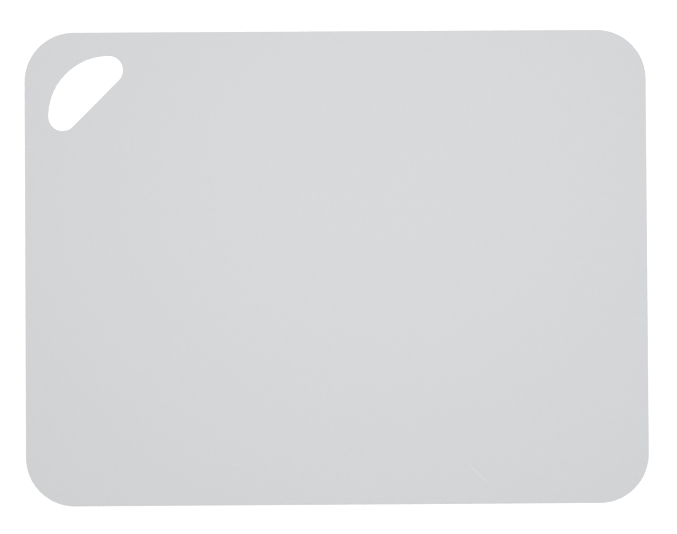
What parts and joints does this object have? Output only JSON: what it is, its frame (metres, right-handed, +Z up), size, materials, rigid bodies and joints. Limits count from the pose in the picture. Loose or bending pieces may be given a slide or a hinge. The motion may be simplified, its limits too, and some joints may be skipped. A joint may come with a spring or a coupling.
{
  "type": "flexible cutting mat",
  "caption": "Thin bendable cutting mat: a flat rectangular plastic sheet with rounded corners and a slanted hand hole through one corner.",
  "frame": {"origin": "middle of the underside, on the surface that the mat lies on", "axes": "+X along the length, away from the edge beside the hand hole; +Y across the width, towards the other edge beside the hand hole; +Z up, out of the cutting face"},
  "size_m": [0.381, 0.29, 0.0015],
  "materials": {
    "mat_plastic": "fine matte grain, light cool grey"
  },
  "bodies": {
    "root": {"mat_sheet": "mat_plastic"}
  },
  "joints": []
}
